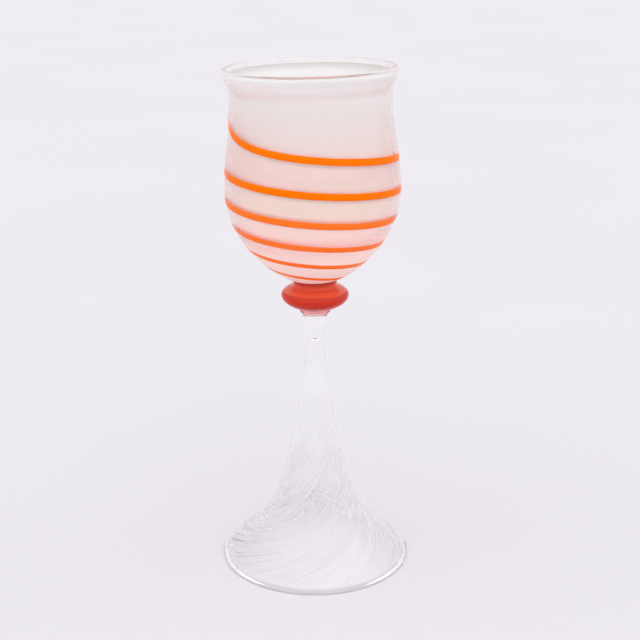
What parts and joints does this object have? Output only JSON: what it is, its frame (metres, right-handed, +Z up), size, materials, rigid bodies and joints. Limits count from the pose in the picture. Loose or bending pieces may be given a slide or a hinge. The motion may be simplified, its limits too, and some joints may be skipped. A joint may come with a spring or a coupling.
{
  "type": "glass goblet",
  "caption": "Stemmed drinking glass: tulip bowl with a milky pink lining and a wound orange thread, on a coral knop and a clear hollow trumpet foot.",
  "frame": {"origin": "on the table, at the centre of the ring that the foot stands on", "axes": "+Z up along the stem, -Y the front that the picture shows, +X to the right of that front"},
  "size_m": [0.0878, 0.0878, 0.2308],
  "materials": {
    "clear_glass": "gloss",
    "pink_opal_glass": "gloss",
    "orange_glass": "gloss",
    "coral_glass": "gloss"
  },
  "bodies": {
    "root": {"bowl_casing": "clear_glass", "bowl_lining": "pink_opal_glass", "spiral_thread": "orange_glass", "knop": "coral_glass", "joint_bit": "clear_glass", "trumpet_foot": "clear_glass"}
  },
  "joints": []
}
